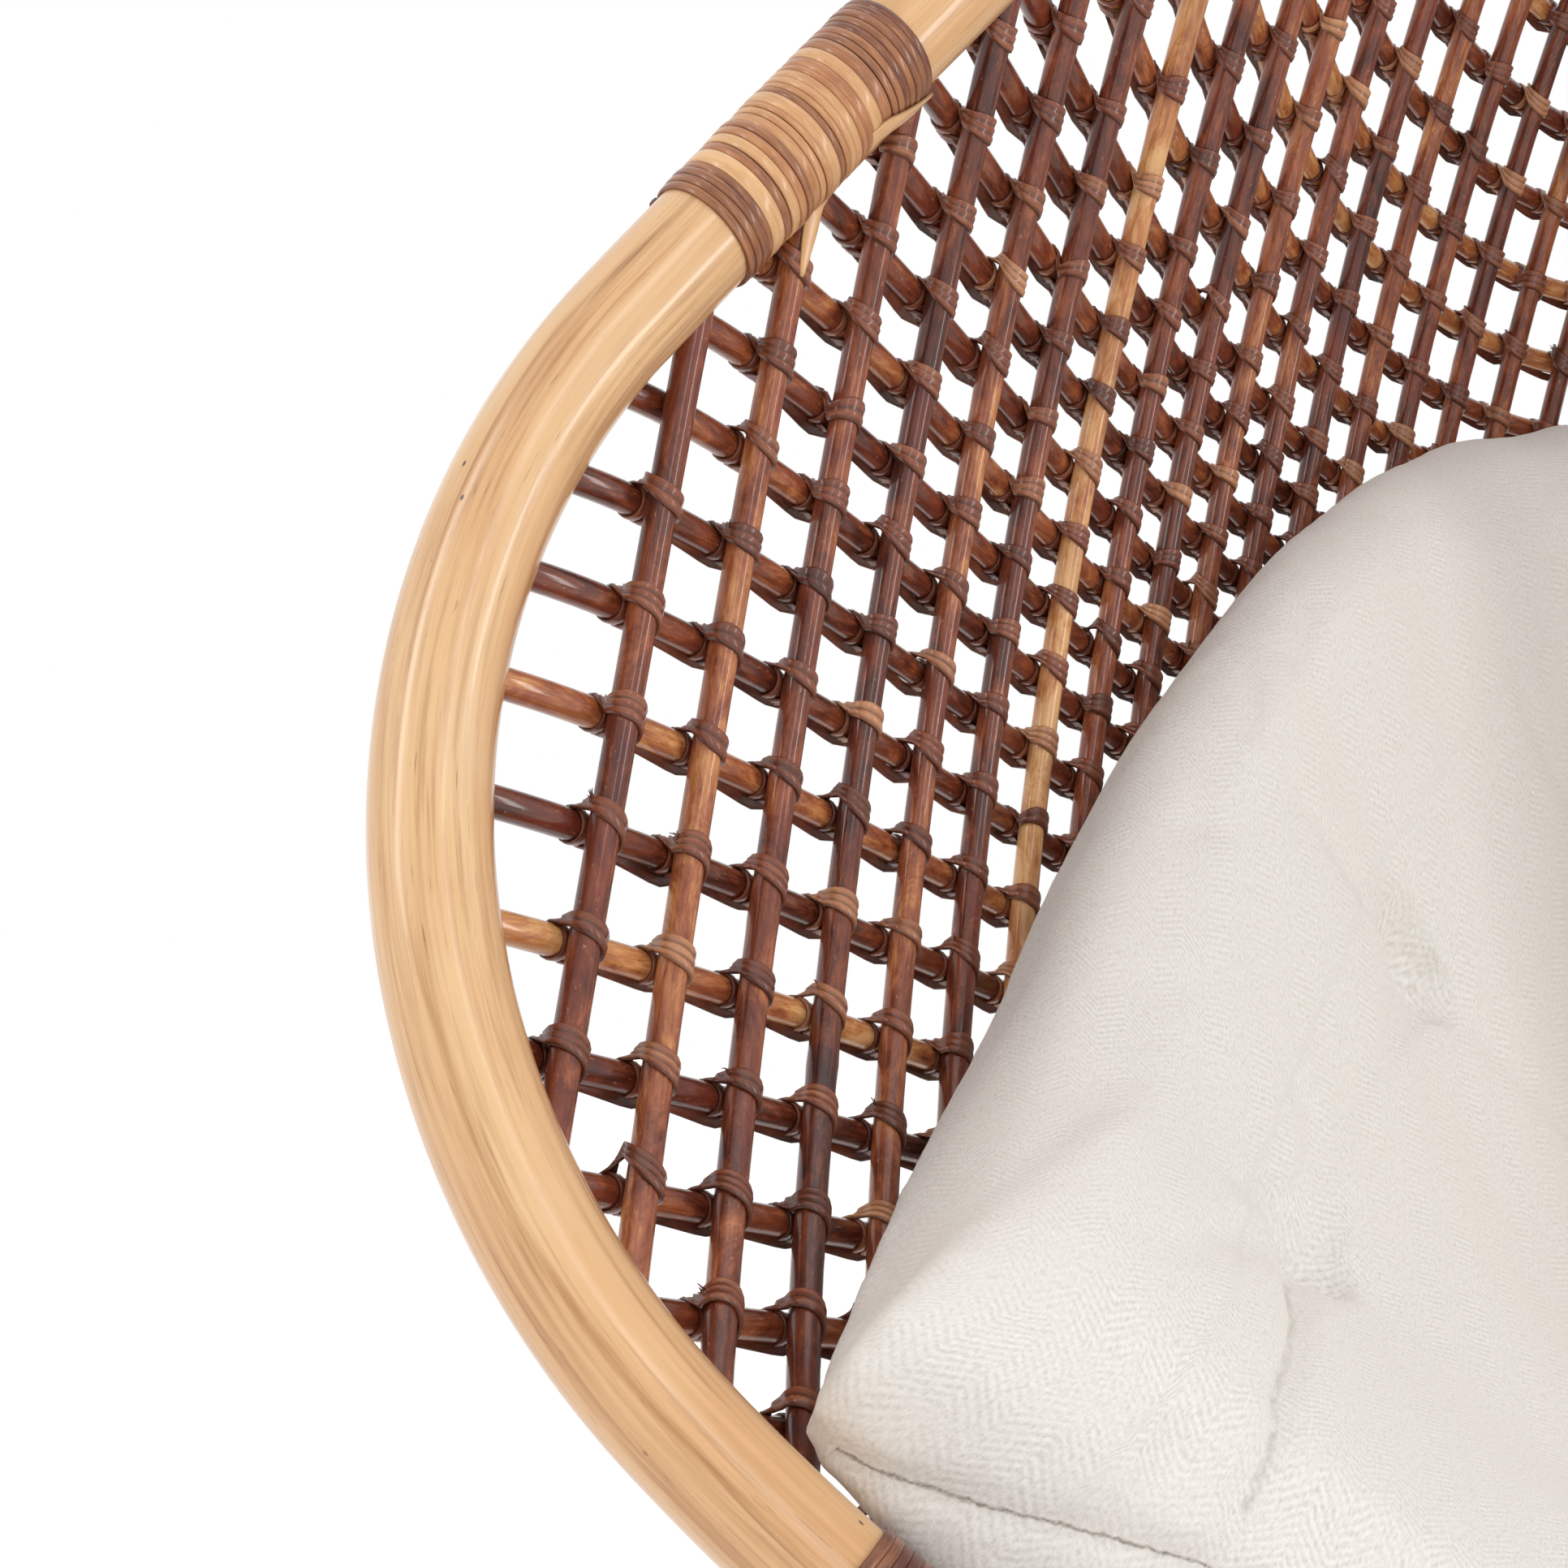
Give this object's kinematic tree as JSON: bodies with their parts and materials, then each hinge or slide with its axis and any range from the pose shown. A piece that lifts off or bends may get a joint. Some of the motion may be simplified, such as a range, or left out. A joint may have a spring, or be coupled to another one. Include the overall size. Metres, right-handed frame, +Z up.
{
  "type": "hanging egg chair",
  "caption": "Hanging egg chair: oval rattan pole rim, basket of tied rattan ribs and hoops, thick seat pad, swivel and shackle above.",
  "frame": {"origin": "centre of the bore of the swivel's upper eye, from which the chair hangs", "axes": "+Z up, +X to the right of a viewer facing the opening, +Y into the basket; the opening faces -Y and the rim leans back at rest"},
  "size_m": [1.0842, 0.7241, 1.2004],
  "materials": {
    "pole": "gloss",
    "rod": "gloss",
    "peel": "satin",
    "pad": "matte",
    "steel": "satin"
  },
  "bodies": {
    "hanger": {"swivel_upper": "steel"},
    "swivel": {"swivel_lower": "steel"},
    "link": {"shackle": "steel", "shackle_pin": "steel"},
    "chair": {"rim_bottom": "pole", "rim_right": "pole", "rim_left": "pole", "rim_top": "pole", "lashing_low_right": "peel", "lashing_low_left": "peel", "lashing_up_right": "peel", "lashing_up_left": "peel", "rib_00": "rod", "rib_01": "rod", "rib_02": "rod", "rib_03": "rod", "rib_04": "rod", "rib_05": "rod", "rib_06": "rod", "rib_07": "rod", "rib_08": "rod", "rib_09": "rod", "rib_10": "rod", "rib_11": "rod", "rib_12": "rod", "rib_13": "rod", "rib_14": "rod", "rib_15": "rod", "rib_16": "rod", "hoops_01": "rod", "hoops_02": "rod", "hoops_03": "rod", "hoops_04": "rod", "hoops_05": "rod", "hoops_06": "rod", "hoops_07": "rod", "hoops_08": "rod", "hoops_09": "rod", "hoops_10": "rod", "hoops_11": "rod", "hoops_12": "rod", "hoops_13": "rod", "hoops_14": "rod", "hoops_15": "rod", "hoops_16": "rod", "hoops_17": "rod", "hoops_18": "rod", "hoops_19": "rod", "ties_low_left": "peel", "ties_low_right": "peel", "ties_high_left": "peel", "ties_high_right": "peel", "cushion": "pad", "eye_bolt": "steel", "washers": "steel", "nut": "steel"}
  },
  "joints": [
    {"name": "swivel_spin", "type": "hinge", "parent": "hanger", "child": "swivel", "pos_m": [0, 0, -0.034], "axis": [0, 0, 1], "continuous": true},
    {"name": "swing", "type": "hinge", "parent": "swivel", "child": "link", "pos_m": [0, 0, -0.072], "axis": [1, 0, 0], "range_deg": [-30, 30]},
    {"name": "side_sway", "type": "hinge", "parent": "link", "child": "chair", "pos_m": [0, 0, -0.1], "axis": [0, 1, 0], "range_deg": [-20, 20]}
  ]
}
